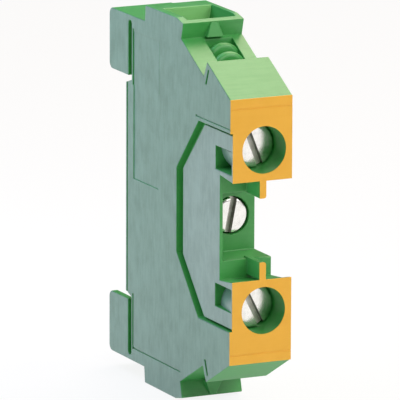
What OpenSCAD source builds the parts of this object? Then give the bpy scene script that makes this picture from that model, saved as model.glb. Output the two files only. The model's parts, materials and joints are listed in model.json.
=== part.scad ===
// Earth terminal for a 35 mm rail.
// A moulded housing holds two screw clamps for conductors. One bracket joins both
// clamps, hooks round the rail and carries the current, and a long screw in the
// middle drives a contact plate against the rail.
// Frame: the origin is the middle of the rail's front plane, X runs along the rail,
// Z runs across it and the front faces look towards -Y. Sizes are in millimetres.
// Depths are measured from the front faces towards the rail.

/* [Overall] */
// Width along the rail
body_w = 10.5; // [10:0.1:14]
// Depth from the front faces to the rail
body_d = 38; // [37:0.5:46]
// Thickness of the left wall beside the clamps
left_wall = 1.8; // [1.5:0.1:2.4]
// Thickness of the right wall beside the clamps
right_wall = 0.8; // [0.6:0.1:1.2]

/* [Front faces] */
// Height from the middle to a front face's outer edge
front_half = 20.75; // [19.5:0.25:26]
// Height from the middle to a front face's inner edge
bay_half = 7.75; // [7.25:0.25:8.5]
// Thickness of the stamped colour layer
marking_t = 0.1; // [0.05:0.05:0.2]
// Distance of the engraved line from a front face's outer edge
line_inset = 1.35; // [1:0.05:2]
// Width of the engraved line
line_w = 0.25; // [0.15:0.05:0.4]
// Depth of the engraved line
line_deep = 0.07; // [0.03:0.01:0.08]
// Height of a tab from its front face towards the middle
tab_h = 2.75; // [2:0.05:3.5]
// Thickness of a tab
tab_t = 1.1; // [0.8:0.1:1.6]
// Offset of the tabs to the left of the clamp screws
tab_set = 0.15; // [0:0.05:0.5]
// Radius of the tabs' right corners
tab_r = 0.4; // [0.2:0.05:0.6]

/* [Sloped ends] */
// Slope of the sloped faces, in degrees
slope = 28.2; // [22:0.2:32]
// Depth of the first slope, from the front edge to the tooth
tooth_d = 8.45; // [7.5:0.05:10]
// Drop from the tooth to the second slope
step_h = 2.4; // [1.8:0.05:2.8]
// Depth by which the step leans back
step_lean = 1.2; // [0.6:0.05:1.5]
// Depth of the second slope, from the step to the funnel
marker_d = 8.1; // [7.5:0.05:10]
// Width of the marker slit behind the tooth
slit_w = 0.35; // [0.25:0.05:0.5]
// Length of the marker slit
slit_l = 2.6; // [2:0.1:3.2]
// Distance of the marker slit below the tooth's tip
slit_drop = 1.25; // [0.7:0.05:1.6]
// Distance of the marker slit from the tooth's tip along the depth
slit_set = 0.7; // [0.5:0.05:1]
// Lean of the marker slit, in degrees
slit_lean = 21.5; // [18:0.5:25]

/* [Marker holder] */
// Width of the marker pocket
pocket_w = 4.6; // [4.2:0.1:5.4]
// Length of the marker pocket
pocket_l = 5; // [4.6:0.1:5.8]
// Distance of the marker pocket from the funnel
pocket_set = 0.6; // [0.4:0.05:1]
// Offset of the marker pocket to the right of the clamp screws
pocket_shift = 0.35; // [0:0.05:0.6]
// Depth of the marker pocket
pocket_deep = 1.8; // [1.4:0.1:2.2]
// Radius of the two round ribs in the pocket
rib_r = 3; // [2.4:0.05:3.4]
// Rise of the round ribs above the slope
rib_rise = 0.6; // [0.3:0.05:0.8]
// Distance of the first rib's middle from the pocket's front
rib_set = 1.3; // [1.1:0.05:1.6]
// Thickness of the ribs with their rounded rims
rib_t = 1.6; // [1.2:0.05:1.8]
// Distance from one rib to the next
rib_pitch = 2; // [1.8:0.05:2.4]
// Width of the gusset on the funnel at its foot
gusset_foot_w = 2.9; // [2.2:0.05:3.4]
// Width of the gusset on the funnel at its top
gusset_top_w = 1.2; // [0.8:0.05:1.8]
// Offset of the gusset to the left of the clamp screws
gusset_set = 0.35; // [0:0.05:0.5]
// Thickness of the gusset at its foot
gusset_foot_t = 1.2; // [0.8:0.05:1.4]
// Height of the gusset's foot above the funnel's foot
gusset_lift = 0.05; // [0.05:0.05:0.4]

/* [Conductor funnels] */
// Height of a funnel's front face
funnel_h = 2.5; // [2:0.05:3.2]
// Forward lean of a funnel's front face
funnel_lean = 0.7; // [0.4:0.05:1]
// Height of the rim's sloped edge
rim_h = 0.56; // [0.4:0.02:0.9]
// Depth of the rim's sloped edge
rim_d = 2.5; // [1.8:0.1:3.2]
// Depth of a funnel from its foot to its back
funnel_d = 13.05; // [12.5:0.05:15]
// Thickness of the mouth's left wall
mouth_left = 1.4; // [1:0.1:1.8]
// Thickness of the mouth's right wall
mouth_right = 0.9; // [0.7:0.1:1.4]
// Thickness of the mouth's front wall
mouth_front = 1.3; // [1:0.1:1.8]
// Thickness of the mouth's back wall
mouth_back = 3.8; // [3:0.1:4.2]
// Depth of the taper below the rim
taper_h = 7.5; // [6:0.25:8.5]
// Width of the straight throat below the taper
throat_w = 5.2; // [4.8:0.1:5.6]
// Depth by which the mouth's front wall slopes in
throat_step = 0.8; // [0.4:0.1:1.2]

/* [Rail side] */
// Width of the rail over its lips
rail_w = 35; // [34:0.5:36]
// Thickness of the rail's lips
rail_lip = 1; // [0.8:0.1:1.5]
// Gap between an ear's tip and the rail's edge
ear_clear = 0.5; // [0.3:0.1:1]
// Reach of the ears behind the rail's front plane
ear_reach = 6.2; // [5:0.1:7]
// Step down from the funnel's top to the ear's top
ear_drop = 2.5; // [2:0.1:3.5]
// Thickness of the ears' side skins
ear_skin = 1; // [0.8:0.1:1.4]
// Thickness of the ears' outer web
ear_web = 0.85; // [0.6:0.05:1.2]
// Radius of the ears' back corners
ear_r = 1.1; // [0.6:0.1:1.6]
// Width of the slot between an ear and the body
slot_w = 1.2; // [0.9:0.1:1.5]
// Distance of the slot from the rail's front plane
slot_set = 0.9; // [0.7:0.1:1.3]
// Distance of the seat's end from the rail's edge
seat_inset = 0.7; // [0.4:0.1:1.2]

/* [Left side panel] */
// Depth of the sunk panel
panel_deep = 0.42; // [0.3:0.02:0.6]
// Height from the middle to the panel's border at the front
panel_half = 15.5; // [14.5:0.25:17]
// Depth at which the border starts to slant
panel_slant_d = 11.4; // [10.5:0.1:12.5]
// Depth of the border's back edge
panel_back_d = 19.3; // [17.5:0.05:20]
// Height from the middle to the border's back corner
panel_back_half = 6.68; // [6:0.02:8]
// Depth of the groove inside the border, below the panel
groove_deep = 0.8; // [0.4:0.05:0.9]
// Width of the groove along the back edge
groove_back_w = 1.5; // [1.2:0.05:2.2]
// Width of the groove along the slanted edges, along the depth
groove_slant_w = 1.35; // [0.8:0.05:2]
// Width of the groove along the top and bottom edges
groove_edge_w = 0.3; // [0.2:0.05:0.7]
// Distance of the thin engraved line above the panel's upper border
fine_rise = 0.6; // [0.4:0.05:1]
// Length of the thin engraved line above the panel
fine_l = 12.4; // [11:0.1:13]
// Width of the thin engraved lines
fine_w = 0.25; // [0.15:0.05:0.4]
// Depth of the thin engraved lines
fine_deep = 0.15; // [0.1:0.05:0.3]
// Width of the upright side lines
seam_w = 0.35; // [0.2:0.05:0.5]
// Depth of the upright side lines and the line along the rail edge
seam_deep = 0.25; // [0.1:0.05:0.3]
// Distance of the side lines' ends from the ears' tops
seam_drop = 2.35; // [2:0.05:3]
// Distance of the upright side lines from the ears' slots
seam_set = 0.8; // [0.5:0.1:1.2]
// Length of the side windows from front to back
window_l = 5.7; // [5:0.1:6.5]
// Height of the side windows
window_h = 3.6; // [3:0.1:3.8]
// Distance of the side windows from the front face
window_set = 0.45; // [0.3:0.05:0.8]
// Distance of the driver holes' tubes behind the panel, at the front
tube_set = 0.1; // [0.05:0.05:0.3]
// Taper of the tubes along a side window
tube_taper = 0.9; // [0.6:0.05:1]
// Depth of the bare label field
label_deep = 0.14; // [0.06:0.02:0.2]
// Length of the label field along the depth
label_l = 9.2; // [8:0.1:10]
// Height of the label field
label_h = 23.6; // [20:0.2:25]
// Length of the thin line along the label field's front edge
label_line_l = 8.4; // [6:0.2:12]
// Distance of the line along the rail edge from that edge
rail_line_set = 0.4; // [0.3:0.05:0.6]
// Width of the line along the rail edge
rail_line_w = 0.3; // [0.2:0.05:0.5]

/* [Middle bay] */
// Depth of the bay's left wall edge and its ledges
ledge_d = 4.6; // [4:0.1:5.5]
// Height of the ledges towards the middle
ledge_h = 2.45; // [2:0.05:3]
// Depth of the bay's floor
floor_d = 10.5; // [9.5:0.1:11]
// Thickness of the bay's left wall
bay_wall = 0.6; // [0.5:0.05:0.9]
// Inset of the bay's right side
bay_inset = 1.2; // [1:0.1:1.6]
// Depth of the inset from the front
bay_inset_d = 13.5; // [13:0.1:14.5]
// Inset of the upper ledge's right side
upper_ledge_inset = 2.3; // [1.6:0.1:2.8]
// Draft of the front blocks' inner faces, from the front to the ledges
bay_draft = 0.5; // [0.2:0.05:0.8]
// Reach of the inset past the front faces' inner edges
bay_inset_h = 1.45; // [1:0.05:1.8]
// Thickness of the front faces' right edges
face_t = 0.7; // [0.5:0.1:1.2]

/* [Clamp screws] */
// Height of the clamp screws from the middle
clamp_z = 12.6; // [12.2:0.1:13.2]
// Diameter of the driver holes
driver_d = 7.4; // [7.1:0.05:7.6]
// Diameter of a clamp screw's head
head_d = 7; // [6.4:0.1:7.1]
// Height of a clamp screw's head
head_h = 2.6; // [2:0.1:3]
// Depth of the heads below the front faces
head_sunk = 4.1; // [3.5:0.1:5]
// Diameter of the clamp screws
clamp_screw_d = 4; // [3.5:0.5:5]
// Width of the heads' slots
head_slot_w = 1.1; // [0.8:0.1:1.3]
// Depth of the heads' slots
head_slot_deep = 1; // [0.8:0.1:1.5]
// Turn of the upper head's slot, in degrees
upper_slot_turn = 22; // [-90:1:90]
// Turn of the lower head's slot, in degrees
lower_slot_turn = 27; // [-90:1:90]
// Length of the screws' bevelled edges
screw_bevel = 0.3; // [0.2:0.05:0.4]

/* [Clamp yokes and wire guards] */
// Length of the yokes along the conductor
yoke_l = 8; // [7:0.25:8.4]
// Thickness of the yokes' side walls
yoke_wall = 1.1; // [0.9:0.1:1.3]
// Thickness of the yokes' threaded walls
thread_wall = 3.5; // [3:0.1:4.2]
// Thickness of the yokes' back walls
yoke_back = 1.8; // [1.4:0.1:2.2]
// Inside of the yokes from the threaded wall to the back wall
yoke_gap = 14.6; // [13.5:0.1:15]
// Distance of the screws' ends from the yokes' threaded walls
screw_drop = 2.4; // [2.3:0.1:3]
// Thickness of the wire guards
guard_t = 0.8; // [0.6:0.1:1]
// Length of the wire guards along the conductor
guard_l = 6; // [5:0.1:7]
// Diameter of the screws' end pins
end_pin_d = 2.2; // [1.8:0.1:2.4]
// Diameter of the end pins' riveted heads
rivet_d = 3.2; // [2.8:0.1:3.4]
// Height of the riveted heads
rivet_h = 0.5; // [0.4:0.05:0.7]

/* [Bracket, rail screw and contact plate] */
// Thickness of the bracket's strip across the clamps
bar_t = 2.5; // [2:0.1:3]
// Distance of the strip behind the funnels' back walls
bar_set = 0.4; // [0.3:0.1:0.8]
// Thickness of the bracket's legs
leg_t = 2; // [1.6:0.1:2.4]
// Gap between the legs and the rail's edges
leg_clear = 1; // [0.6:0.1:1.4]
// Bite of the hooks behind the rail's lips
hook_bite = 1.8; // [1.2:0.1:2.4]
// Thickness of the hooks
hook_t = 1.8; // [1.4:0.1:2.2]
// Gap between the hooks and the rail's lips
hook_clear = 0.4; // [0.2:0.1:0.8]
// Offset of the rail screw to the left of the clamp screws
rail_screw_set = 0.5; // [0:0.1:0.8]
// Height of the rail screw above the middle
rail_screw_z = 0.3; // [-0.5:0.1:0.5]
// Diameter of the rail screw
rail_screw_d = 3.5; // [3:0.5:4]
// Diameter of the rail screw's head
rail_head_d = 5.6; // [5.2:0.1:5.7]
// Height of the rail screw's head
rail_head_h = 2; // [1.6:0.1:2.4]
// Diameter of the counterbore for the rail screw's head
rail_hole_d = 6.05; // [5.9:0.05:6.4]
// Depth of the rail screw's head below the bay's floor
rail_head_sunk = 0.15; // [0:0.05:0.5]
// Width of the rail screw's slot
rail_slot_w = 1.1; // [0.6:0.1:1.3]
// Turn of the rail screw's slot, in degrees
rail_slot_turn = -11; // [-90:1:90]
// Thickness of the contact plate
contact_t = 2; // [1.6:0.1:2.4]
// Distance of the contact plate in front of the rail at rest
contact_set = 0.5; // [0.3:0.1:0.8]
// Distance of the contact plate's ends from the rail's edges
contact_inset = 0.4; // [0.3:0.1:0.8]
// Travel of the contact plate towards the rail
contact_travel = 1.5; // [1:0.1:1.8]

/* [Fits] */
// Gap between pieces that stay still
still_gap = 0.2; // [0.1:0.05:0.25]
// Gap between pieces that slide past each other
slide_gap = 0.3; // [0.2:0.05:0.35]
// Gap at the screws' threads and end pins, on the radius
thread_gap = 0.05; // [0.02:0.01:0.08]
// Gap between a screw's end and the plate that it drives
end_gap = 0.1; // [0.05:0.05:0.2]

/* [Hidden] */
$fn = 64;
past = 1;                                       // how far cuts run past a face

// Places across the width
left = -body_w / 2;
right = body_w / 2;
chamber = [left + left_wall, right - right_wall];
middle_x = (chamber[0] + chamber[1]) / 2;
yoke_x = [chamber[0] + still_gap, chamber[1] - still_gap];
yoke_inside = [yoke_x[0] + yoke_wall, yoke_x[1] - yoke_wall];
bar_x = [yoke_inside[0] + still_gap, yoke_inside[1] - still_gap];
guard_x = [yoke_inside[0] + slide_gap, yoke_inside[1] - slide_gap];
contact_x = [chamber[0] + slide_gap, chamber[1] - slide_gap];
throat_x = [middle_x - throat_w / 2, middle_x + throat_w / 2];
mouth_x = [left + mouth_left, right - mouth_right];
panel_x = left + panel_deep;
tab_x = [middle_x - tab_set - tab_t / 2, middle_x - tab_set + tab_t / 2];
rail_screw_x = middle_x - rail_screw_set;
pocket_x = middle_x + pocket_shift;

// Outline of the sloped ends and funnels, as depths and heights
tooth_z = front_half + tooth_d * tan(slope);
step_d = tooth_d + step_lean;
step_z = tooth_z - step_h;
foot_d = step_d + marker_d;
foot_z = step_z + marker_d * tan(slope);
lip_d = foot_d - funnel_lean;
lip_z = foot_z + funnel_h;
top_z = lip_z + rim_h;
funnel_back_d = foot_d + funnel_d;
mouth_front_d = lip_d + mouth_front;
mouth_back_d = funnel_back_d - mouth_back;
throat_front_d = mouth_front_d + throat_step;
taper_z = top_z - taper_h;
pocket_d = [foot_d - pocket_set - pocket_l, foot_d - pocket_set];

// Rail side
rail_half = rail_w / 2;
ear_top = top_z - ear_drop;
ear_tip = rail_half + ear_clear;
ear_back_d = body_d + ear_reach;
slot_back_d = body_d - slot_set;
slot_front_d = slot_back_d - slot_w;
slot_top = ear_top - ear_web;
seat_half = rail_half - seat_inset;

// Bracket and rail screw
bar_front_d = mouth_back_d + bar_set;
bar_back_d = bar_front_d + bar_t;
leg_in = rail_half + leg_clear;
leg_out = leg_in + leg_t;
hook_front_d = body_d + rail_lip + hook_clear;
hook_back_d = hook_front_d + hook_t;
hook_tip = rail_half - hook_bite;
contact_back_d = body_d - contact_set;
contact_front_d = contact_back_d - contact_t;
contact_half = rail_half - contact_inset;
rail_head_front_d = floor_d + rail_head_sunk;
rail_head_back_d = rail_head_front_d + rail_head_h;
counterbore_d = rail_head_back_d + contact_travel + slide_gap;

// Clamps
yoke_front_d = bar_back_d - yoke_gap - thread_wall;
yoke_window_d = yoke_front_d + thread_wall;
yoke_back_d = bar_back_d + yoke_back;
yoke_z = [clamp_z - yoke_l / 2, clamp_z + yoke_l / 2];
chamber_front_d = yoke_front_d - slide_gap;
chamber_z = [yoke_z[0] - still_gap, yoke_z[1] + still_gap];
screw_end_d = yoke_window_d + screw_drop;
guard_front_d = screw_end_d + end_gap;

// Middle of the housing
partition = 1.2;                                // wall between the clamps and the middle
core_half = chamber_z[0] - partition;
core_front_d = counterbore_d + partition;
ledge_half = bay_half - ledge_h;
channel_d = bar_front_d - still_gap;            // front of the bracket's channel
channel_half = leg_out + slide_gap;
ear_hollow_top = ear_top - ear_web;
ear_hollow_d = funnel_back_d + partition;

// Extrude an outline of depths and heights across the width, from x[0] to x[1]
module across(x) {
    translate([x[0], -body_d, 0]) rotate([90, 0, 90]) linear_extrude(x[1] - x[0]) children();
}

// Block between two places across the width, two depths and two heights
module block(x, d, z) {
    translate([x[0], d[0] - body_d, z[0]]) cube([x[1] - x[0], d[1] - d[0], z[1] - z[0]]);
}

// Round bar or hole along the depth, at x and z
module along(diameter, x, z, d) {
    translate([x, d[0] - body_d, z]) rotate([-90, 0, 0]) cylinder(d = diameter, h = d[1] - d[0]);
}

// The same thing at the upper and the lower end
module both_ends() {
    children();
    mirror([0, 0, 1]) children();
}

// A half outline together with its mirror image below
function whole(half) = concat(half, [for (i = [len(half) - 1 : -1 : 0]) [half[i][0], -half[i][1]]]);

// Side outline of the housing without the ears
module body_outline() {
    polygon(whole([
        [0, front_half],
        [tooth_d, tooth_z],
        [step_d, step_z],
        [foot_d, foot_z],
        [lip_d, lip_z],
        [lip_d + rim_d, top_z],
        [funnel_back_d, top_z],
        [funnel_back_d + rim_h / 2, ear_top],
        [slot_front_d, ear_top],
        [slot_front_d, seat_half + seat_inset],
        [body_d, seat_half]
    ]));
}

// Side outline of the upper ear, with a rounded back corner
module ear_outline() {
    difference() {
        translate([slot_front_d - past, ear_tip])
            square([ear_back_d - slot_front_d + past, ear_top - ear_tip]);
        translate([ear_back_d - ear_r, ear_top - ear_r]) difference() {
            square(ear_r + past);
            circle(ear_r);
        }
        translate([ear_back_d - ear_r, ear_tip + ear_r]) mirror([0, 1]) difference() {
            square(ear_r + past);
            circle(ear_r);
        }
        translate([slot_front_d, ear_tip - past]) square([slot_w, slot_top - slot_w / 2 - ear_tip + past]);
        translate([slot_front_d + slot_w / 2, slot_top - slot_w / 2]) circle(d = slot_w);
    }
}

// Border of the sunk side panel
module panel_border() {
    polygon(whole([
        [-past, panel_half],
        [panel_slant_d, panel_half],
        [panel_back_d, panel_back_half]
    ]));
}

// Floor of the sunk side panel inside its groove
module panel_floor() {
    polygon(whole([
        [-past, panel_half - groove_edge_w],
        [panel_slant_d - groove_slant_w, panel_half - groove_edge_w],
        [panel_back_d - groove_back_w, panel_back_half + groove_edge_w / 2]
    ]));
}

// Sunk panel and its groove on the left side
module left_panel_cuts() {
    across([left - past, panel_x]) panel_border();
    across([left - past, panel_x + groove_deep]) difference() {
        panel_border();
        panel_floor();
    }
}

// Engraved lines and bare label field on the left side
module left_side_lines() {
    line_z = ear_top - seam_drop;
    line_d = slot_front_d - seam_set;
    line_x = [left - past, left + seam_deep];
    fine_x = [left - past, left + fine_deep];
    label_d = line_d - label_l;
    fine_z = panel_half + fine_rise;
    rail_line_d = body_d - rail_line_set;
    both_ends() block(line_x, [line_d, line_d + seam_w], [seat_half, line_z + seam_w]);
    mirror([0, 0, 1]) block(fine_x, [foot_d, line_d], [line_z, line_z + fine_w]);
    block([left - past, left + label_deep], [label_d, line_d], [line_z - label_h, line_z]);
    block(line_x, [label_d - fine_w, label_d], [line_z - label_line_l, line_z]);
    block(fine_x, [-past, fine_l], [fine_z, fine_z + fine_w]);
    block(line_x, [rail_line_d - rail_line_w, rail_line_d], [-seat_half - past, seat_half + past]);
}

// Upper side window, which lays bare the round tube of the driver hole
module side_window() {
    tube_r = middle_x - panel_x - tube_set;
    difference() {
        block([panel_x - past, middle_x], [window_set, window_set + window_l], [clamp_z - window_h, clamp_z]);
        translate([middle_x, -body_d, clamp_z]) rotate([-90, 0, 0])
            cylinder(r1 = tube_r, r2 = tube_r - 2 * tube_taper, h = 2 * (window_set + window_l));
    }
}

// Upper funnel: a mouth that tapers down to a straight throat
module funnel() {
    throat_z = chamber_z[1] - past;
    intersection() {
        across([left, right]) polygon([
            [mouth_front_d, top_z + past],
            [mouth_back_d, top_z + past],
            [mouth_back_d, taper_z],
            [bar_front_d, taper_z],
            [bar_front_d, throat_z],
            [throat_front_d, throat_z],
            [throat_front_d, taper_z],
            [mouth_front_d, top_z - rim_h]
        ]);
        translate([0, ear_back_d - body_d, 0]) rotate([90, 0, 0]) linear_extrude(ear_back_d) polygon([
            [mouth_x[0], top_z + past],
            [mouth_x[1], top_z + past],
            [mouth_x[1], top_z - rim_h],
            [throat_x[1], taper_z],
            [throat_x[1], throat_z],
            [throat_x[0], throat_z],
            [throat_x[0], taper_z],
            [mouth_x[0], top_z - rim_h]
        ]);
    }
}

// Hollows of one end: driver hole, clamp chamber, funnel and ear
module end_hollows() {
    along(driver_d, middle_x, clamp_z, [-past, chamber_front_d + past]);
    block(chamber, [chamber_front_d, body_d + past], chamber_z);
    funnel();
    ear_x = [left + ear_skin, right - ear_skin];
    block(ear_x, [ear_hollow_d, ear_back_d + past], [channel_half, ear_hollow_top]);
    block(ear_x, [slot_front_d, ear_back_d + past], [ear_tip - past, ear_hollow_top]);
}

// Hollows in the middle, open to the rail: the bracket's channel and the core
module middle_hollows() {
    block(chamber, [channel_d, ear_back_d + past], [-channel_half, channel_half]);
    block(chamber, [core_front_d, body_d + past], [-core_half, core_half]);
    along(rail_hole_d, rail_screw_x, rail_screw_z, [floor_d - past, counterbore_d]);
    along(rail_screw_d + 2 * slide_gap, rail_screw_x, rail_screw_z, [floor_d, core_front_d + past]);
}

// Bay between the two front faces
module bay_cut() {
    across([left - past, right + past]) polygon(whole([
        [-past, bay_half],
        [0, bay_half],
        [ledge_d, bay_half + bay_draft]
    ]));
    block([panel_x + bay_wall, right + past], [-past, floor_d], [-ledge_half, ledge_half]);
    inset_half = bay_half + bay_inset_h;
    inset_x = [right - bay_inset, right + past];
    block(inset_x, [face_t, chamber_front_d - partition], [-inset_half, inset_half]);
    block(inset_x, [face_t, bay_inset_d], [-core_half, core_half]);
    block([right - upper_ledge_inset, right + past], [face_t, bay_inset_d], [ledge_half, bay_half]);
}

// Upper tab between its front face and the ledge, with a rounded right corner
module tab(d) {
    end_z = bay_half - tab_h;
    corner_x = tab_x[1] - tab_r;
    past_d = [d[0] - past, d[1] + past];
    difference() {
        block(tab_x, d, [end_z, bay_half]);
        difference() {
            block([corner_x, tab_x[1] + past], past_d, [end_z - past, end_z + tab_r]);
            along(2 * tab_r, corner_x, end_z + tab_r, past_d);
        }
    }
}

// Height of the second slope at a depth
function slope_z(d) = step_z + (d - step_d) * tan(slope);

// Pocket and slit for markers on the upper second slope
module marker_cuts() {
    across([pocket_x - pocket_w / 2, pocket_x + pocket_w / 2]) polygon([
        [pocket_d[0], slope_z(pocket_d[0]) + past],
        [pocket_d[1], slope_z(pocket_d[1]) + past],
        [pocket_d[1], slope_z(pocket_d[1]) - pocket_deep],
        [pocket_d[0], slope_z(pocket_d[0]) - pocket_deep]
    ]);
    across([left - past, right + past]) translate([tooth_d - slit_set, tooth_z - slit_drop])
        rotate(slit_lean) translate([0, -slit_l]) square([slit_w, slit_l]);
}

// Round ribs with rounded rims in the upper marker pocket
module marker_ribs() {
    rim_r = rib_t / 2;
    for (i = [0, 1]) {
        d = pocket_d[0] + rib_set + i * rib_pitch;
        middle_z = slope_z(d) + rib_rise - rib_r;
        along(2 * (rib_r - rim_r), pocket_x, middle_z, [d - rim_r, d + rim_r]);
        translate([pocket_x, d - body_d, middle_z]) rotate([-90, 0, 0]) rotate_extrude()
            translate([rib_r - rim_r, 0]) circle(rim_r);
    }
}

// Gusset on the upper funnel's front face, thicker towards its foot
module gusset() {
    gusset_z = [foot_z + gusset_lift, lip_z - rim_h / 4];
    root = mouth_front / 2;
    intersection() {
        across([left, right]) polygon([
            [foot_d - gusset_foot_t, gusset_z[0]],
            [foot_d + root, gusset_z[0]],
            [lip_d + root, gusset_z[1]],
            [lip_d, gusset_z[1]]
        ]);
        translate([middle_x - gusset_set, foot_d + past - body_d, 0]) rotate([90, 0, 0])
            linear_extrude(foot_d) polygon([
                [-gusset_top_w / 2, gusset_z[1]],
                [gusset_top_w / 2, gusset_z[1]],
                [gusset_foot_w / 2, gusset_z[0]],
                [-gusset_foot_w / 2, gusset_z[0]]
            ]);
    }
}

module housing() {
    color([0.28, 0.58, 0.31]) difference() {
        union() {
            difference() {
                union() {
                    across([left, right]) body_outline();
                    both_ends() across([left, right]) ear_outline();
                }
                both_ends() {
                    end_hollows();
                    side_window();
                    marker_cuts();
                }
                middle_hollows();
                bay_cut();
                left_panel_cuts();
                left_side_lines();
            }
            both_ends() {
                tab([marking_t, ledge_d + past]);
                marker_ribs();
                gusset();
            }
        }
        both_ends() block([left - past, right + past], [-past, marking_t], [0, front_half + past]);
    }
}

// Stamped colour on the upper front face and its tab, with an engraved line
module marking_layer() {
    difference() {
        union() {
            block([panel_x, right], [0, marking_t], [bay_half, panel_half]);
            block([left, right], [0, marking_t], [panel_half, front_half + marking_t * tan(slope)]);
            tab([0, marking_t]);
        }
        along(driver_d, middle_x, clamp_z, [-past, past]);
        line_z = front_half - line_inset;
        block([left - past, right + past], [-past, line_deep], [line_z - line_w, line_z]);
    }
}

module upper_marking() {
    color([0.93, 0.68, 0.26]) marking_layer();
}

module lower_marking() {
    color([0.93, 0.68, 0.26]) mirror([0, 0, 1]) marking_layer();
}

// Slotted head with a bevelled front edge, lying along the depth at the origin
module slotted_head(diameter, height, slot_width, slot_depth) {
    rotate([-90, 0, 0]) difference() {
        rotate_extrude() polygon([
            [0, 0],
            [diameter / 2 - screw_bevel, 0],
            [diameter / 2, screw_bevel],
            [diameter / 2, height],
            [0, height]
        ]);
        translate([-slot_width / 2, -diameter, -past]) cube([slot_width, 2 * diameter, slot_depth + past]);
    }
}

// Shank with an end pin that is riveted behind a plate, lying along the depth
module riveted_shank(diameter, d, plate_t) {
    pin_l = plate_t + 2 * end_gap;
    rotate([-90, 0, 0]) rotate_extrude() polygon([
        [0, d[0]],
        [diameter / 2, d[0]],
        [diameter / 2, d[1] - screw_bevel],
        [diameter / 2 - screw_bevel, d[1]],
        [end_pin_d / 2, d[1]],
        [end_pin_d / 2, d[1] + pin_l],
        [rivet_d / 2, d[1] + pin_l],
        [rivet_d / 2 - screw_bevel, d[1] + pin_l + rivet_h],
        [0, d[1] + pin_l + rivet_h]
    ]);
}

// Clamp screw at a height, with its slot turned
module clamp_screw(z, turn) {
    translate([middle_x, head_sunk - body_d, z]) {
        rotate([0, turn, 0]) slotted_head(head_d, head_h, head_slot_w, head_slot_deep);
        riveted_shank(clamp_screw_d, [head_h, screw_end_d - head_sunk], guard_t);
    }
}

module upper_clamp_screw() {
    color([0.78, 0.78, 0.76]) clamp_screw(clamp_z, -upper_slot_turn);
}

module lower_clamp_screw() {
    color([0.78, 0.78, 0.76]) clamp_screw(-clamp_z, -lower_slot_turn);
}

// Clamp yoke: a rectangular ring round the bracket and the conductor
module clamp_yoke() {
    difference() {
        block(yoke_x, [yoke_front_d, yoke_back_d], yoke_z);
        block(yoke_inside, [yoke_window_d, bar_back_d + thread_gap], [yoke_z[0] - past, yoke_z[1] + past]);
        along(clamp_screw_d + 2 * thread_gap, middle_x, clamp_z, [yoke_front_d - past, yoke_window_d + past]);
    }
}

module upper_clamp_yoke() {
    color([0.62, 0.63, 0.63]) clamp_yoke();
}

module lower_clamp_yoke() {
    color([0.62, 0.63, 0.63]) mirror([0, 0, 1]) clamp_yoke();
}

// Wire guard: the plate on a clamp screw's end that presses on the conductor
module wire_guard() {
    guard_back_d = guard_front_d + guard_t;
    difference() {
        block(guard_x, [guard_front_d, guard_back_d], [clamp_z - guard_l / 2, clamp_z + guard_l / 2]);
        along(end_pin_d + 2 * thread_gap, middle_x, clamp_z, [guard_front_d - past, guard_back_d + past]);
    }
}

module upper_wire_guard() {
    color([0.7, 0.7, 0.68]) wire_guard();
}

module lower_wire_guard() {
    color([0.7, 0.7, 0.68]) mirror([0, 0, 1]) wire_guard();
}

// Bracket: a strip across both clamps, with a leg and a hook at each end
module rail_bracket() {
    color([0.8, 0.72, 0.5]) difference() {
        across(bar_x) polygon(whole([
            [bar_front_d, leg_out],
            [hook_back_d - hook_t / 2, leg_out],
            [hook_back_d, leg_out - hook_t / 2],
            [hook_back_d, leg_in],
            [hook_front_d + hook_t / 3, hook_tip],
            [hook_front_d, hook_tip],
            [hook_front_d, leg_in],
            [bar_back_d, leg_in]
        ]));
        along(rail_screw_d + 2 * thread_gap, rail_screw_x, rail_screw_z,
            [bar_front_d - past, bar_back_d + past]);
    }
}

module rail_screw() {
    color([0.78, 0.78, 0.76]) translate([rail_screw_x, rail_head_front_d - body_d, rail_screw_z]) {
        rotate([0, -rail_slot_turn, 0]) slotted_head(rail_head_d, rail_head_h, rail_slot_w, rail_head_h / 2);
        riveted_shank(rail_screw_d, [rail_head_h, contact_front_d - end_gap - rail_head_front_d], contact_t);
    }
}

// Contact plate that the rail screw drives against the rail's lips
module contact_plate() {
    color([0.8, 0.72, 0.5]) difference() {
        block(contact_x, [contact_front_d, contact_back_d], [-contact_half, contact_half]);
        along(end_pin_d + 2 * thread_gap, rail_screw_x, rail_screw_z,
            [contact_front_d - past, contact_back_d + past]);
    }
}

housing();
upper_marking();
lower_marking();
upper_clamp_screw();
lower_clamp_screw();
upper_clamp_yoke();
lower_clamp_yoke();
upper_wire_guard();
lower_wire_guard();
rail_bracket();
rail_screw();
contact_plate();
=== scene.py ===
"""Looks of a slim earth terminal for a 35 mm rail.

The moulding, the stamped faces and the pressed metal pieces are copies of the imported
solids with rounded edges. The three screws are turned anew, with wound threads.
Sizes are written in millimetres, and MM turns them into the frame's metres.
"""

import json
import math

import bmesh
import bpy
from mathutils import Matrix, Vector, geometry

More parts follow.
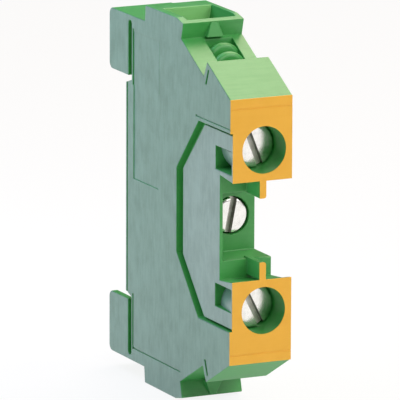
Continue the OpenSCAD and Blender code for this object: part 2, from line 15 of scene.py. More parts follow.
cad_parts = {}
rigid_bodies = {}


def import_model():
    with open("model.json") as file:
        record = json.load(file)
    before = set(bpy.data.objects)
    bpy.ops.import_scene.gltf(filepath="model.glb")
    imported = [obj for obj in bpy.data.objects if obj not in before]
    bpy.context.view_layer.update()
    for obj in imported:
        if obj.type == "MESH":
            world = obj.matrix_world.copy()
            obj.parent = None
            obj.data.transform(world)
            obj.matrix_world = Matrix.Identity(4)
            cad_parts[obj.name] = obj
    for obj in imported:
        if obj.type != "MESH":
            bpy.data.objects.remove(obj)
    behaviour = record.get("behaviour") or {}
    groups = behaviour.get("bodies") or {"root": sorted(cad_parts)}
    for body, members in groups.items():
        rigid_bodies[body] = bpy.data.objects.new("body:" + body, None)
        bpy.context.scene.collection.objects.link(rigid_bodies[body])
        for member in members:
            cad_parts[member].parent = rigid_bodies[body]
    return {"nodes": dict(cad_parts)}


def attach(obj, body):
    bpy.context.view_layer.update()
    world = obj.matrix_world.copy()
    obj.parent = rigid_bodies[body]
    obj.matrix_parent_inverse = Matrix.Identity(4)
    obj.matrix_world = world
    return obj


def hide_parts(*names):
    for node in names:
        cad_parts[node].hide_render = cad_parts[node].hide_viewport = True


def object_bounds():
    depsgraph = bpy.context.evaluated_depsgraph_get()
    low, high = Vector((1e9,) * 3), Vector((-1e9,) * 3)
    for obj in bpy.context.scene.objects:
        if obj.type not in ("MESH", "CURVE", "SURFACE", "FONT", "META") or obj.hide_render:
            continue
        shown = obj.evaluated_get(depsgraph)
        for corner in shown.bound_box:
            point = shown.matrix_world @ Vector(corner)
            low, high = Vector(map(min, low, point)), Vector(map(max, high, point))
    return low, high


MM = 0.001

for leftover in list(bpy.data.objects):
    bpy.data.objects.remove(leftover)

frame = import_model()
cad_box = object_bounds()

# Sizes of the terminal, as in the part's source
BODY_WIDTH = 10.5
BODY_DEPTH = 38.0
LEFT = -BODY_WIDTH / 2
PANEL_SUNK = 0.42
STAMP_THICK = 0.1
MOUTH_BACK = 27.0
DRIVER_HOLE = 7.4
SCREW_X = 0.5
CLAMP_Z = 12.6
HEAD_SUNK = 4.1
RAIL_SCREW_X = 0.0
RAIL_SCREW_Z = 0.3
RAIL_HEAD_SUNK = 10.65
SLOT_WIDTH = 1.1
SLOT_DEPTH = 1.0

# Grain of the finishes, and the tones of their noises between which they change
NO_STRETCH = (1.0, 1.0, 1.0)
NOISE_ROUGHNESS = 0.55
BUMP_STRENGTH = 0.5
DARK_TONE = 0.3
LIGHT_TONE = 0.7
BRIGHT_TONE = 0.65
THIN_COAT_TONE = 0.35
FULL_COAT_TONE = 0.65
THIN_COAT_SHARE = 0.65


# Shader sheets: one class for a node's output, one for a material
class Wire:
    """A node's output. Operators on wires add Math and Vector Math nodes."""

    def __init__(self, sheet, socket):
        self.sheet = sheet
        self.socket = socket

    def __add__(self, value):
        return self.sheet.combine("ADD", self, value)

    def __radd__(self, value):
        return self.sheet.combine("ADD", value, self)

    def __mul__(self, value):
        return self.sheet.combine("MULTIPLY", self, value)

    def __rmul__(self, value):
        return self.sheet.combine("MULTIPLY", value, self)

    def step(self, low, high, to_low=0.0, to_high=1.0):
        """A smooth step from to_low, at low, to to_high, at high."""
        return self.sheet.node(
            "ShaderNodeMapRange",
            {"interpolation_type": "SMOOTHSTEP"},
            {"Value": self, "From Min": low, "From Max": high, "To Min": to_low, "To Max": to_high},
        )

    def blend(self, first, second):
        """A colour that goes from first, where this is 0, to second, where it is 1."""
        return self.sheet.node(
            "ShaderNodeMix",
            {"data_type": "RGBA"},
            {"Factor_Float": self, "A_Color": first, "B_Color": second},
            "Result_Color",
        )


class Sheet:
    """A material's node tree, empty at first apart from its output."""

    def __init__(self, name):
        self.material = bpy.data.materials.new(name)
        self.material.use_nodes = True
        self.tree = self.material.node_tree
        self.tree.nodes.clear()
        self.end = self.tree.nodes.new("ShaderNodeOutputMaterial")

    def put(self, socket, value):
        """Set a socket to a number, vector or colour, or link a wire to it."""
        if isinstance(value, Wire):
            self.tree.links.new(value.socket, socket)
        elif socket.type == "RGBA":
            socket.default_value = (*value, 1.0)
        else:
            socket.default_value = value

    def node(self, kind, settings=None, inputs=None, output=0):
        """Add a node: its settings come first, then its sockets. Gives one output."""
        made = self.tree.nodes.new(kind)
        for name, value in (settings or {}).items():
            setattr(made, name, value)
        by_identifier = {socket.identifier: socket for socket in made.inputs}
        for name, value in (inputs or {}).items():
            by_name = name not in by_identifier
            self.put(made.inputs[name] if by_name else by_identifier[name], value)
        if isinstance(output, str):
            found = [socket for socket in made.outputs if output in (socket.identifier, socket.name)]
            return Wire(self, found[0])
        return Wire(self, made.outputs[output])

    def combine(self, operation, first, second):
        """Join two values or two vectors by one operation."""
        kinds = {value.socket.type for value in (first, second) if isinstance(value, Wire)}
        kind = "ShaderNodeVectorMath" if "VECTOR" in kinds else "ShaderNodeMath"
        return self.node(kind, {"operation": operation}, {0: first, 1: second})

    def place(self):
        """Places on the piece in millimetres."""
        metres = self.node("ShaderNodeTexCoord", output="Object")
        return metres * (1 / MM, 1 / MM, 1 / MM)

    def noise(self, place, size, detail, stretch=NO_STRETCH):
        """Cloudy noise with patches of about that size, from 0 to 1."""
        scaled = place * tuple(1 / times for times in stretch)
        return self.node(
            "ShaderNodeTexNoise",
            None,
            {"Vector": scaled, "Scale": 1 / size, "Detail": detail, "Roughness": NOISE_ROUGHNESS},
        )

    def bump(self, height, distance):
        """A normal from a height of 0 to 1 that stands for that distance in millimetres."""
        return self.node(
            "ShaderNodeBump",
            None,
            {"Height": height, "Distance": distance * MM, "Strength": BUMP_STRENGTH},
            "Normal",
        )

    def finish(self, shader):
        """Join a shader to the output and give the finished material."""
        self.put(self.end.inputs["Surface"], shader)
        return self.material

    def surface(self, inputs):
        """Finish the material with one Principled shader."""
        return self.finish(self.node("ShaderNodeBsdfPrincipled", None, inputs))


def moulded_green(name, light, dark, roughness, coat, streak):
    """Green moulded plastic with a fine eroded grain and faint tool streaks."""
    sheet = Sheet(name)
    place = sheet.place()
    grain = sheet.noise(place, size=0.22, detail=2.0)
    cloud = sheet.noise(place, size=3.0, detail=3.0)
    flow = sheet.noise(place, size=0.6, detail=4.0, stretch=streak)
    tone = cloud * 0.45 + flow * 0.4 + grain * 0.15
    smoothest = roughness - 0.05
    roughest = roughness + 0.07
    thinnest = THIN_COAT_SHARE * coat
    return sheet.surface({
        "Base Color": tone.step(DARK_TONE, LIGHT_TONE).blend(dark, light),
        "Roughness": tone.step(DARK_TONE, LIGHT_TONE, to_low=smoothest, to_high=roughest),
        "IOR": 1.53,
        "Specular IOR Level": 0.4,
        "Coat Weight": tone.step(THIN_COAT_TONE, FULL_COAT_TONE, to_low=thinnest, to_high=coat),
        "Coat Roughness": smoothest,
        "Coat IOR": 1.38,
        "Normal": sheet.bump(grain * 0.7 + flow * 0.3, distance=0.012),
    })


def stamped_yellow(light, dark):
    """Warm yellow colour stamped on the plastic, with faint rolling streaks."""
    sheet = Sheet("stamped_yellow")
    place = sheet.place()
    streak = sheet.noise(place, size=0.8, detail=2.0, stretch=(12.0, 1.0, 0.5))
    cloud = sheet.noise(place, size=2.5, detail=3.0)
    grain = sheet.noise(place, size=0.18, detail=2.0)
    tone = streak * 0.2 + cloud * 0.5 + grain * 0.3
    return sheet.surface({
        "Base Color": tone.step(DARK_TONE, LIGHT_TONE).blend(dark, light),
        "Roughness": tone.step(DARK_TONE, LIGHT_TONE, to_low=0.4, to_high=0.48),
        "IOR": 1.5,
        "Normal": sheet.bump(grain * 0.6 + streak * 0.4, distance=0.008),
    })


def turned_zinc(name, bright, dull, roughness):
    """Zinc-plated steel with turning rings round the screw's axis."""
    sheet = Sheet(name)
    place = sheet.place()
    across = place * (1.0, 0.0, 1.0)
    reach = sheet.node("ShaderNodeVectorMath", {"operation": "LENGTH"}, {0: across}, "Value")
    rings = sheet.node(
        "ShaderNodeTexNoise",
        {"noise_dimensions": "1D"},
        {"W": reach, "Scale": 9.0, "Detail": 2.0},
    )
    cloud = sheet.noise(place, size=1.1, detail=3.0)
    fleck = sheet.noise(place, size=0.25, detail=2.0)
    tone = rings * 0.3 + cloud * 0.5 + fleck * 0.2
    return sheet.surface({
        "Base Color": tone.step(DARK_TONE, BRIGHT_TONE).blend(dull, bright),
        "Metallic": 1.0,
        "Roughness": tone.step(DARK_TONE, LIGHT_TONE, to_low=roughness + 0.1, to_high=roughness - 0.03),
        "Normal": sheet.bump(rings * 0.7 + fleck * 0.3, distance=0.01),
    })


def rolled_metal(name, bright, dull, roughness, stretch):
    """Rolled strip or pressed steel, with rolling lines and faint stains."""
    sheet = Sheet(name)
    place = sheet.place()
    lines = sheet.noise(place, size=0.2, detail=2.0, stretch=stretch)
    stain = sheet.noise(place, size=2.2, detail=4.0)
    tone = lines * 0.4 + stain * 0.6
    return sheet.surface({
        "Base Color": tone.step(DARK_TONE, BRIGHT_TONE).blend(dull, bright),
        "Metallic": 1.0,
        "Roughness": tone.step(DARK_TONE, LIGHT_TONE, to_low=roughness + 0.1, to_high=roughness - 0.04),
        "Normal": sheet.bump(lines, distance=0.008),
    })


def pale_floor(grey, white_share):
    """White floor that stays white in the picture and in metal, and keeps a soft shadow."""
    sheet = Sheet("pale_floor")
    looks = ("Is Camera Ray", "Is Glossy Ray", "Is Transmission Ray")
    camera, glossy, through = [sheet.node("ShaderNodeLightPath", output=look) for look in looks]
    seen = camera + glossy + through
    matt = sheet.node("ShaderNodeBsdfDiffuse", None, {"Color": (grey, grey, grey)})
    white = sheet.node("ShaderNodeEmission", None, {"Color": (1.0, 1.0, 1.0), "Strength": 1.0})
    mixed = sheet.node("ShaderNodeMixShader", None, {0: seen * white_share, 1: matt, 2: white})
    return sheet.finish(mixed)


ALONG_THE_RAIL = (12.0, 1.0, 1.0)
UPRIGHT = (1.0, 1.0, 5.0)
GREEN = moulded_green(
    "moulded_green", light=(0.06, 0.365, 0.08), dark=(0.045, 0.325, 0.065),
    roughness=0.4, coat=1.0, streak=ALONG_THE_RAIL,
)
# Painted shade: a slightly darker copy of the green for hollows, the mouth's far wall and downward faces;
# its thin coat and higher roughness also make them less glossy.
PAINTED_SHADE_INNER_GREEN = moulded_green(
    "painted_shade_inner_green", light=(0.055, 0.36, 0.075), dark=(0.04, 0.32, 0.06),
    roughness=0.5, coat=0.2, streak=ALONG_THE_RAIL,
)
# Painted light: the mouth's back wall above the clamps gets a much paler green, as if brightly lit from
# the front.
PAINTED_LIGHT_MOUTH_GREEN = moulded_green(
    "painted_light_mouth_green", light=(0.33, 0.74, 0.28), dark=(0.29, 0.68, 0.24),
    roughness=0.5, coat=0.4, streak=ALONG_THE_RAIL,
)
# Painted sheen: the left side gets a paler, bluer green than the rest of the moulding, standing in for
# the grey glare of light at a grazing angle.
SHEEN_PAINTED_SIDE_GREEN = moulded_green(
    "sheen_painted_side_green", light=(0.157, 0.31, 0.237), dark=(0.098, 0.22, 0.157),
    roughness=0.4, coat=1.0, streak=UPRIGHT,
)
# Painted sheen: the sunk panel and the tubes seen through its windows get a still paler, bluer green for
# the same glare.
SHEEN_PAINTED_PANEL_GREEN = moulded_green(
    "sheen_painted_panel_green", light=(0.225, 0.36, 0.305), dark=(0.155, 0.26, 0.215),
    roughness=0.34, coat=1.0, streak=UPRIGHT,
)
YELLOW = stamped_yellow(light=(0.885, 0.465, 0.046), dark=(0.845, 0.43, 0.034))
ZINC = turned_zinc(
    "turned_zinc", bright=(0.99, 0.97, 0.93), dull=(0.86, 0.84, 0.8), roughness=0.14,
)
SLOT_FLOOR = turned_zinc(
    "slot_floor_zinc", bright=(0.99, 0.95, 0.88), dull=(0.86, 0.81, 0.74), roughness=0.5,
)
# Painted shade: a near-black copy of the zinc on the slot's walls, standing in for the shade inside the
# slot.
PAINTED_SHADE_SLOT_WALL = turned_zinc(
    "painted_shade_slot_wall_zinc", bright=(0.26, 0.26, 0.23), dull=(0.16, 0.16, 0.14), roughness=0.35,
)
STEEL = rolled_metal(
    "pressed_steel", bright=(0.66, 0.66, 0.65), dull=(0.52, 0.52, 0.5),
    roughness=0.3, stretch=(1.0, 8.0, 1.0),
)
BRASS = rolled_metal(
    "tinned_brass", bright=(0.76, 0.7, 0.58), dull=(0.62, 0.55, 0.42),
    roughness=0.3, stretch=(1.0, 1.0, 10.0),
)


# New objects
def mesh_of(shape, name):
    """A new mesh from a shape that is ready, which is then let go."""
    mesh = bpy.data.meshes.new(name)
    shape.to_mesh(mesh)
    shape.free()
    return mesh


def scene_object(name, data):
    """A new object in the scene."""
    thing = bpy.data.objects.new(name, data)
    bpy.context.scene.collection.objects.link(thing)
    return thing


def mesh_after_modifiers(thing):
    """The mesh of an object as its modifiers leave it."""
    view = bpy.context.evaluated_depsgraph_get()
    return bpy.data.meshes.new_from_object(thing.evaluated_get(view))


def finished_piece(name, mesh, node, body, finishes, place=(0.0, 0.0, 0.0)):
    """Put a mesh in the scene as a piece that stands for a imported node."""
    for finish in finishes:
        mesh.materials.append(finish)
    piece = scene_object(name, mesh)
    piece.location = [value * MM for value in place]
    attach(piece, body)
    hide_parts(node)
    return piece


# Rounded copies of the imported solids
MERGE = 0.0001 * MM
FLAT = math.radians(0.5)
SHARP = math.radians(25)
SMOOTH_TURN = math.radians(35)
CREASE = math.radians(40)
FLAT_CREASE = 1.5 * CREASE
SAME_WAY = math.radians(0.2)
SAME_PLANE = 0.001 * MM
WIDE = 8 * MM ** 2
ROOM_SHARE = 0.42
THINNEST_ROUND = 0.02 * MM
ROUND_STEPS = 2


def merged_solid(node):
    """The node's mesh with joined corners and with its flat triangles made whole."""
    shape = bmesh.new()
    shape.from_mesh(frame["nodes"][node].data)
    bmesh.ops.remove_doubles(shape, verts=shape.verts, dist=MERGE)
    bmesh.ops.dissolve_limit(shape, angle_limit=FLAT, verts=shape.verts, edges=shape.edges)
    return shape


def is_sharp(edge):
    """Whether two faces meet at an edge in more than a slight turn."""
    return len(edge.link_faces) == 2 and edge.calc_face_angle() > SHARP


def runs_on(edge, neighbour):
    """Whether the neighbour carries an edge on in a smooth line."""
    corner = next((v for v in edge.verts if v in neighbour.verts), None)
    if corner is None:
        return False
    inward = corner.co - edge.other_vert(corner).co
    onward = neighbour.other_vert(corner).co - corner.co
    return inward.angle(onward) < SMOOTH_TURN


def edge_lines(edges):
    """Sharp edges grouped into smooth lines, such as the rim of a hole."""
    left = set(edges)
    lines = []
    while left:
        start = left.pop()
        line = [start]
        queue = [start]
        while queue:
            edge = queue.pop()
            for corner in edge.verts:
                for neighbour in corner.link_edges:
                    if neighbour in left and runs_on(edge, neighbour):
                        left.remove(neighbour)
                        line.append(neighbour)
                        queue.append(neighbour)
        lines.append(line)
    return lines


def room_beside(line, sharp):
    """The least distance across the faces beside a line to the next sharp edge."""
    own = set(line)
    room = math.inf
    for edge in line:
        middle = (edge.verts[0].co + edge.verts[1].co) / 2
        for face in edge.link_faces:
            for across in face.edges:
                if across in own or across not in sharp:
                    continue
                ends = [v.co for v in across.verts]
                share = geometry.intersect_point_line(middle, *ends)[1]
                nearest = ends[0].lerp(ends[1], min(1.0, max(0.0, share)))
                room = min(room, (middle - nearest).length)
    return room


def weigh_edges(shape, width, stay_sharp):
    """Give each sharp edge the width of rounding that its faces have room for."""
    layer = shape.edges.layers.float.new("bevel_weight_edge")
    sharp = {edge for edge in shape.edges if is_sharp(edge)}
    for line in edge_lines(sharp):
        most = min(width, ROOM_SHARE * room_beside(line, sharp))
        for edge in line:
            rounded = most > THINNEST_ROUND and not stay_sharp(edge)
            edge[layer] = most / width if rounded else 0.0
            edge.smooth = rounded


def flat_planes(shape):
    """The planes of a solid's flat faces, each as its normal and its distance."""
    planes = []
    for face in shape.faces:
        if face.calc_area() > WIDE or all(is_sharp(edge) for edge in face.edges):
            planes.append((face.normal.copy(), face.normal.dot(face.verts[0].co)))
    return planes


def lies_in(face, planes):
    """Whether a face lies in one of the planes."""
    for normal, distance in planes:
        off = abs(normal.dot(face.verts[0].co) - distance)
        if off < SAME_PLANE and normal.angle(face.normal) < SAME_WAY:
            return True
    return False


def corner_normal(face, corner, flat):
    """The shading normal of a rounded or curved face at one of its corners."""
    flat_here = [other.normal for other in corner.link_faces if flat[other.index]]
    near = [normal for normal in flat_here if normal.angle(face.normal) < FLAT_CREASE]
    if len(near) == 1:
        return near[0]
    total = Vector()
    for other in corner.link_faces:
        if not flat[other.index] and other.normal.angle(face.normal) < CREASE:
            total += other.normal * other.calc_area()
    return total.normalized()


def shade(mesh, planes):
    """Shade a rounded mesh: flat on its flat faces and smooth across the rounding."""
    shape = bmesh.new()
    shape.from_mesh(mesh)
    flat = [lies_in(face, planes) for face in shape.faces]
    normals = []
    for face in shape.faces:
        for corner in face.verts:
            normals.append(face.normal if flat[face.index] else corner_normal(face, corner, flat))
    mesh.normals_split_custom_set(normals)
    shape.free()


def never(edge):
    """No edge stays sharp."""
    return False


def first_finish(face):
    """Every face has the first finish."""
    return 0


def rounded_copy(name, node, body, finishes, width, stay_sharp=never, finish_of=first_finish):
    """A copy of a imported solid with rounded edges, in place of the solid."""
    shape = merged_solid(node)
    planes = flat_planes(shape)
    weigh_edges(shape, width * MM, stay_sharp)
    for face in shape.faces:
        face.smooth = True
        face.material_index = finish_of(face)
    piece = finished_piece(name, mesh_of(shape, name), node, body, finishes)
    rounding = piece.modifiers.new("rounded_edges", "BEVEL")
    rounding.limit_method = "WEIGHT"
    rounding.width = width * MM
    rounding.segments = ROUND_STEPS
    rounding.use_clamp_overlap = False
    piece.data = mesh_after_modifiers(piece)
    piece.modifiers.remove(rounding)
    shade(piece.data, planes)


# Limits that tell the edges and faces of the moulding apart
NEAR = 0.01
SQUARE_ON = 0.99
TUBE_TURN = 0.5
LOOKS_LEFT = 0.7
LOOKS_DOWN = 0.3
SIDE_DEEP = 0.3
INNER_X = LEFT / 3
WINDOW_REACH = 3.7
HOLLOW_DEPTH = 8.0
MOUTH_FOOT = 20.0
# The plain green and its copies with painted sheen, painted light and painted shade
HOUSING_FINISHES_AND_PAINTED_LIGHT = [GREEN, SHEEN_PAINTED_SIDE_GREEN, SHEEN_PAINTED_PANEL_GREEN, PAINTED_SHADE_INNER_GREEN, PAINTED_LIGHT_MOUTH_GREEN]


def under_the_stamp(edge):
    """Whether an edge lies where the stamped colour meets the moulding."""
    seam = (STAMP_THICK - BODY_DEPTH) * MM
    return all(abs(corner.co.y - seam) < NEAR * MM for corner in edge.verts)


def behind_the_stamp(edge):
    """Whether an edge of the stamped colour lies behind its front."""
    front = -BODY_DEPTH * MM
    return any(abs(corner.co.y - front) > NEAR * MM for corner in edge.verts)


def finish_or_painted_light_at(face):
    """The finish of one of the housing's faces: the plain green, or a copy with painted sheen, light or
    shade.
    """
    x, y, z = face.calc_center_median() / MM
    depth = y + BODY_DEPTH
    height = abs(z)
    leftward = -face.normal.x
    # The sunk panel and the tubes seen through its windows take the panel green of painted sheen.
    on_tube = x < INNER_X and TUBE_TURN < leftward < SQUARE_ON
    if on_tube or abs(x - LEFT - PANEL_SUNK) < NEAR:
        return SHEEN_PAINTED_PANEL_GREEN
    # Hollows round the screws and in the windows, the mouth's far wall and downward faces take the darker
    # green of painted shade.
    in_hole = math.hypot(x - SCREW_X, height - CLAMP_Z) < DRIVER_HOLE / 2
    in_window = LEFT + PANEL_SUNK < x < INNER_X and abs(height - CLAMP_Z) < WINDOW_REACH
    in_hollow = STAMP_THICK < depth < HOLLOW_DEPTH and (in_hole or in_window)
    in_mouth = x > SCREW_X and leftward > LOOKS_LEFT and height > MOUTH_FOOT
    if in_hollow or in_mouth or face.normal.z < -LOOKS_DOWN:
        return PAINTED_SHADE_INNER_GREEN
    # The mouth's back wall above the clamps takes the pale green of painted light.
    if abs(depth - MOUTH_BACK) < NEAR and height > CLAMP_Z:
        return PAINTED_LIGHT_MOUTH_GREEN
    # The left side takes the paler green of painted sheen.
    if leftward > SQUARE_ON and x < LEFT + SIDE_DEEP:
        return SHEEN_PAINTED_SIDE_GREEN
    return GREEN


def housing_finish_or_painted_light(face):
    """Which of the housing's greens, plain or with painted sheen, light or shade, a face has, as a place
    in their list.
    """
    return HOUSING_FINISHES_AND_PAINTED_LIGHT.index(finish_or_painted_light_at(face))


rounded_copy(
    "moulded_housing", "housing", "terminal_body", HOUSING_FINISHES_AND_PAINTED_LIGHT,
    width=0.16, stay_sharp=under_the_stamp, finish_of=housing_finish_or_painted_light,
)
for end in ("upper", "lower"):
    rounded_copy(
        f"{end}_stamped_face", f"{end}_marking", "terminal_body", [YELLOW],
        width=0.06, stay_sharp=behind_the_stamp,
    )
    rounded_copy(
        f"{end}_pressed_yoke", f"{end}_clamp_yoke", "terminal_body", [STEEL],
        width=0.3,
    )
    rounded_copy(
        f"{end}_pressed_guard", f"{end}_wire_guard", f"{end}_guard_body", [STEEL],
        width=0.15,
    )
rounded_copy("bent_bracket", "rail_bracket", "terminal_body", [BRASS], width=0.35)
rounded_copy("rail_contact", "contact_plate", "contact_body", [BRASS], width=0.3)


# Turned screws
# Zinc for the screws, a rougher zinc for the slot floors, and a near-black zinc of painted shade for the
# slot walls
SCREW_FINISHES_AND_PAINTED_SHADE = [ZINC, SLOT_FLOOR, PAINTED_SHADE_SLOT_WALL]
TURN_STEPS = 72
ROWS_PER_TURN = 10
HEAD_RING_SHARES = (0.25, 0.5, 0.75)
BEVEL = 0.3
BEVEL_MIDDLE_SHARE = 0.3
FILLET = 0.15
PIN_D = 2.2
RIVET_D = 3.2
RIVET_H = 0.5
RIVET_EDGE = 0.1
THREAD_CUT_SHARE = 0.61
THREAD_ROOT_SHARE = 0.12
THREAD_FLANK_SHARE = 0.72
SLOT_MARGIN = 0.001
STEEP = 0.5


def thread_height(turns):
    """Height of the thread's ridge, from 0 at its root to 1 at its crest."""
    ridge = 1 - abs(2 * (turns % 1) - 1)
    return min(1.0, max(0.0, (ridge - THREAD_ROOT_SHARE) / THREAD_FLANK_SHARE))


def screw_rows(head_d, head_h, shank_d, thread_start, thread_end, pitch, pin_l):
    """Rows of a screw's skin from the middle of its head to its riveted end.

    Each row is a radius, a depth and how far the thread cuts in below that radius.
    """
    cut = THREAD_CUT_SHARE * pitch
    swell = BEVEL * BEVEL_MIDDLE_SHARE
    head = head_d / 2
    shank = shank_d / 2
    pin = PIN_D / 2
    rivet = RIVET_D / 2
    pin_end = thread_end + pin_l
    thread_l = thread_end - BEVEL - thread_start
    rows = [(head * share, 0.0, 0.0) for share in HEAD_RING_SHARES]
    rows += [(head - BEVEL, 0.0, 0.0), (head - swell, swell, 0.0), (head, BEVEL, 0.0)]
    rows += [(head, head_h - FILLET, 0.0), (head - FILLET, head_h, 0.0), (shank + FILLET, head_h, 0.0)]
    rows += [(shank, head_h + FILLET, 0.0), (shank, thread_start, 0.0)]
    count = math.ceil(thread_l / pitch * ROWS_PER_TURN)
    for i in range(1, count + 1):
        depth = thread_start + thread_l * i / count
        run_out = min(1.0, (depth - thread_start) / pitch)
        rows.append((shank, depth, cut * run_out))
    rows += [(shank - cut, thread_end, 0.0), (pin, thread_end, 0.0), (pin, pin_end, 0.0)]
    rows += [(rivet, pin_end, 0.0), (rivet - RIVET_EDGE, pin_end + RIVET_H / 2, 0.0)]
    rows += [(rivet - BEVEL, pin_end + RIVET_H, 0.0)]
    return rows


def screw_skin(rows, pitch):
    """A closed screw along +Y from its rows, with the thread wound to the right."""
    shape = bmesh.new()
    rings = []
    for radius, depth, cut in rows:
        ring = []
        for i in range(TURN_STEPS):
            turn = i / TURN_STEPS
            here = radius - cut * (1 - thread_height(depth / pitch - turn))
            angle = math.tau * turn
            ring.append(shape.verts.new((here * math.sin(angle), depth, here * math.cos(angle))))
        rings.append(ring)
    first = shape.verts.new((0.0, rows[0][1], 0.0))
    last = shape.verts.new((0.0, rows[-1][1], 0.0))
    for i in range(TURN_STEPS):
        j = (i + 1) % TURN_STEPS
        shape.faces.new((first, rings[0][i], rings[0][j]))
        shape.faces.new((last, rings[-1][j], rings[-1][i]))
        for near, far in zip(rings, rings[1:]):
            shape.faces.new((near[i], far[i], far[j], near[j]))
    bmesh.ops.recalc_face_normals(shape, faces=shape.faces)
    return shape


def cut_slot(skin, head_d):
    """Cut the driver slot across the head, along Z, and give its floor a rougher zinc and its walls a
    near-black zinc of painted shade.
    """
    blank = scene_object("screw_blank", mesh_of(skin, "screw_blank"))
    block = bmesh.new()
    bmesh.ops.create_cube(block, size=1.0)
    bmesh.ops.scale(block, vec=(SLOT_WIDTH, 2 * SLOT_DEPTH, 2 * head_d), verts=block.verts)
    cutter = scene_object("slot_cutter", mesh_of(block, "slot_cutter"))
    cutting = blank.modifiers.new("slot", "BOOLEAN")
    cutting.object = cutter
    cutting.solver = "EXACT"
    slotted = bmesh.new()
    slotted.from_mesh(mesh_after_modifiers(blank))
    bpy.data.objects.remove(blank)
    bpy.data.objects.remove(cutter)
    for face in slotted.faces:
        middle = face.calc_center_median()
        in_width = abs(middle.x) < SLOT_WIDTH / 2 + SLOT_MARGIN
        in_depth = SLOT_MARGIN < middle.y < SLOT_DEPTH + SLOT_MARGIN
        finish = ZINC
        # Painted shade: the slot's walls get the near-black zinc; its floor gets a rougher zinc.
        if in_width and in_depth:
            finish = PAINTED_SHADE_SLOT_WALL if abs(face.normal.x) > STEEP else SLOT_FLOOR
        face.material_index = SCREW_FINISHES_AND_PAINTED_SHADE.index(finish)
    return slotted


def turned_screw(name, node, body, place, turn, **sizes):
    """A slotted screw with a riveted end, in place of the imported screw. Its turn is in degrees."""
    skin = screw_skin(screw_rows(**sizes), sizes["pitch"])
    shape = cut_slot(skin, sizes["head_d"])
    shape.transform(Matrix.Scale(MM, 4) @ Matrix.Rotation(math.radians(turn), 4, "Y"))
    for face in shape.faces:
        face.smooth = True
    for edge in shape.edges:
        edge.smooth = not is_sharp(edge)
    finished_piece(name, mesh_of(shape, name), node, body, SCREW_FINISHES_AND_PAINTED_SHADE, place)


for end, side, turn in (("upper", 1, -22), ("lower", -1, -27)):
    turned_screw(
        f"{end}_turned_screw", f"{end}_clamp_screw", f"{end}_screw_body",
        place=(SCREW_X, HEAD_SUNK - BODY_DEPTH, side * CLAMP_Z), turn=turn,
        head_d=7.0, head_h=2.6, shank_d=4.0, thread_start=3.2, thread_end=13.6, pitch=0.7, pin_l=1.0,
    )
turned_screw(
    "rail_turned_screw", "rail_screw", "rail_screw_body",
    place=(RAIL_SCREW_X, RAIL_HEAD_SUNK - BODY_DEPTH, RAIL_SCREW_Z), turn=11,
    head_d=5.6, head_h=2.0, shank_d=3.5, thread_start=9.0, thread_end=24.75, pitch=0.6, pin_l=2.2,
)


# Floor and light
MIDDLE = (0.0, -17.0, 0.0)
FLOOR_HALF = 6000.0
FLOOR_GREY = 0.88
FLOOR_WHITE_SHARE = 0.88
WORLD_COLOUR = (0.9, 0.96, 1.0, 1.0)
WORLD_STRENGTH = 0.03


def flat_floor():
    """A wide floor under the lowest point of the terminal."""
    lowest = cad_box[0].z
    half = FLOOR_HALF * MM
    corners = [(-half, -half, lowest), (half, -half, lowest), (half, half, lowest), (-half, half, lowest)]
    mesh = bpy.data.meshes.new("floor")
    mesh.from_pydata(corners, [], [(0, 1, 2, 3)])
    mesh.materials.append(pale_floor(FLOOR_GREY, FLOOR_WHITE_SHARE))
    floor = scene_object("floor", mesh)


def soft_box(name, place, size, radiance, colour, aim=MIDDLE):
    """A square soft light at a place that faces another place, all in millimetres."""
    lamp = bpy.data.lights.new(name, "AREA")
    lamp.shape = "SQUARE"
    lamp.size = size * MM
    lamp.energy = radiance * math.pi * lamp.size ** 2
    lamp.color = colour
    box = scene_object(name, lamp)
    box.location = Vector(place) * MM
    box.rotation_mode = "QUATERNION"
    box.rotation_quaternion = (Vector(place) - Vector(aim)).to_track_quat("Z", "Y")


def faint_world():
    """A faint even light from all round, and plain colours in the picture."""
    world = bpy.data.worlds.new("studio")
    world.use_nodes = True
    background = world.node_tree.nodes["Background"]
    background.inputs["Color"].default_value = WORLD_COLOUR
    background.inputs["Strength"].default_value = WORLD_STRENGTH
    bpy.context.scene.world = world
    bpy.context.scene.view_settings.view_transform = "Standard"


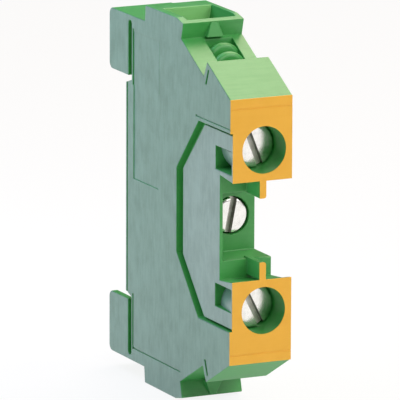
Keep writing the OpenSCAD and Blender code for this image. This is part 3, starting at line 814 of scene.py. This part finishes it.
flat_floor()
soft_box("top_light", place=(252, 187, 504), size=420, radiance=4.5, colour=(1.0, 0.8, 0.68))
soft_box("right_light", place=(330, -277, 444), size=220, radiance=7.6, colour=(1.0, 1.0, 0.9))
soft_box("low_light", place=(300, -497, 198), size=300, radiance=1.8, colour=(1.0, 1.0, 0.95))
soft_box("front_light", place=(-20, -450, 410), size=300, radiance=4.15, colour=(1.0, 0.97, 0.92))
soft_box("left_light", place=(-300, -17, 0), size=200, radiance=3.5, colour=(0.7, 0.85, 1.0))
soft_box(
    "back_wash", place=(-55, 56, 100), size=130, radiance=3.0, colour=(0.62, 0.75, 0.99),
    aim=(-38, 36, -30),
)
faint_world()


# Camera at the photograph's place, to the left of the terminal and above it
CAMERA_TURN = math.radians(25.5)
CAMERA_TILT = math.radians(12.308)
CAMERA_ROLL = math.radians(0.21)
CAMERA_DISTANCE = 1050
AIM_RIGHT = -0.315
AIM_UP = 0.6405
SENSOR_WIDTH = 36.0
LENS = 606.3
NEAREST_SEEN = 10
FARTHEST_SEEN = 20000


def photo_camera():
    """A camera with a long lens, rolled a little round its own axis."""
    sideways = math.sin(CAMERA_TURN)
    forwards = math.cos(CAMERA_TURN)
    along = math.cos(CAMERA_TILT)
    ahead = Vector((sideways * along, forwards * along, -math.sin(CAMERA_TILT)))
    level = Vector((forwards, -sideways, 0.0))
    upright = level.cross(ahead)
    right = level * math.cos(CAMERA_ROLL) + upright * math.sin(CAMERA_ROLL)
    up = upright * math.cos(CAMERA_ROLL) - level * math.sin(CAMERA_ROLL)
    target = Vector(MIDDLE) * MM + right * (AIM_RIGHT * MM) + up * (AIM_UP * MM)
    eye = target - ahead * (CAMERA_DISTANCE * MM)
    data = bpy.data.cameras.new("photo_camera")
    data.sensor_width = SENSOR_WIDTH
    data.lens = LENS
    data.clip_start = NEAREST_SEEN * MM
    data.clip_end = FARTHEST_SEEN * MM
    camera = scene_object("photo_camera", data)
    camera.matrix_world = Matrix((
        (right.x, up.x, -ahead.x, eye.x),
        (right.y, up.y, -ahead.y, eye.y),
        (right.z, up.z, -ahead.z, eye.z),
        (0.0, 0.0, 0.0, 1.0),
    ))
    bpy.context.scene.camera = camera


photo_camera()
